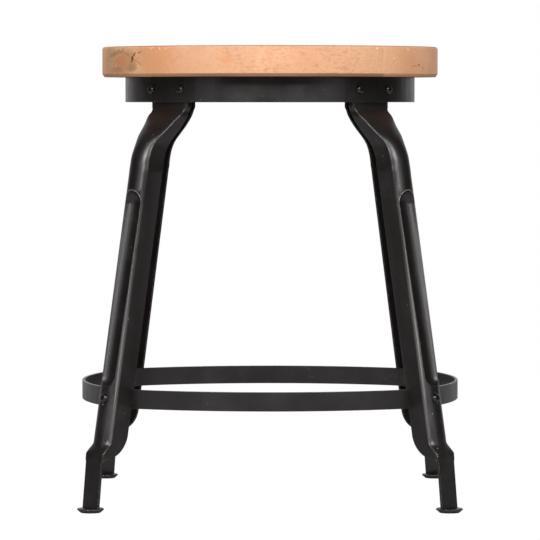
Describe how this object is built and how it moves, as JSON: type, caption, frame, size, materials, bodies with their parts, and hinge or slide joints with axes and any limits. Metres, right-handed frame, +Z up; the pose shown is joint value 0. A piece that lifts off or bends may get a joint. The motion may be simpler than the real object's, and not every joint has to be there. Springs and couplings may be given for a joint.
{
  "type": "machinist stool",
  "caption": "Low round workshop stool: wooden disc seat on a steel band, pressed channel legs with small steel feet and a flat-bar foot ring.",
  "frame": {"origin": "on the floor under the middle of the seat (bottom centre of the bounding box)", "axes": "+Z up, -Y the front that the picture shows, +X to the right seen from the front"},
  "size_m": [0.3774, 0.3774, 0.45],
  "materials": {
    "seat_wood": "clear satin lacquer on a glued hardwood disc",
    "powder_black": "black satin paint on sheet and bar steel",
    "rivet_black": "black painted dome-head steel rivets",
    "zinc_steel": "zinc-plated screws and tubes"
  },
  "bodies": {
    "root": {"band_rivets_back_left": "rivet_black", "band_rivets_back_right": "rivet_black", "band_rivets_front_left": "rivet_black", "band_rivets_front_right": "rivet_black", "distance_tube_back_left": "zinc_steel", "distance_tube_back_right": "zinc_steel", "distance_tube_front_left": "zinc_steel", "distance_tube_front_right": "zinc_steel", "foot_back_left": "powder_black", "foot_back_right": "powder_black", "foot_front_left": "powder_black", "foot_front_right": "powder_black", "foot_ring": "powder_black", "foot_ring_rivet_back_left": "rivet_black", "foot_ring_rivet_back_right": "rivet_black", "foot_ring_rivet_front_left": "rivet_black", "foot_ring_rivet_front_right": "rivet_black", "leg_back_left": "powder_black", "leg_back_right": "powder_black", "leg_front_left": "powder_black", "leg_front_right": "powder_black", "seat_band": "powder_black", "seat_board_narrow": "seat_wood", "seat_board_wide": "seat_wood", "seat_bracket_back": "powder_black", "seat_bracket_front": "powder_black", "seat_bracket_left": "powder_black", "seat_bracket_right": "powder_black", "seat_screws": "zinc_steel"}
  },
  "joints": []
}
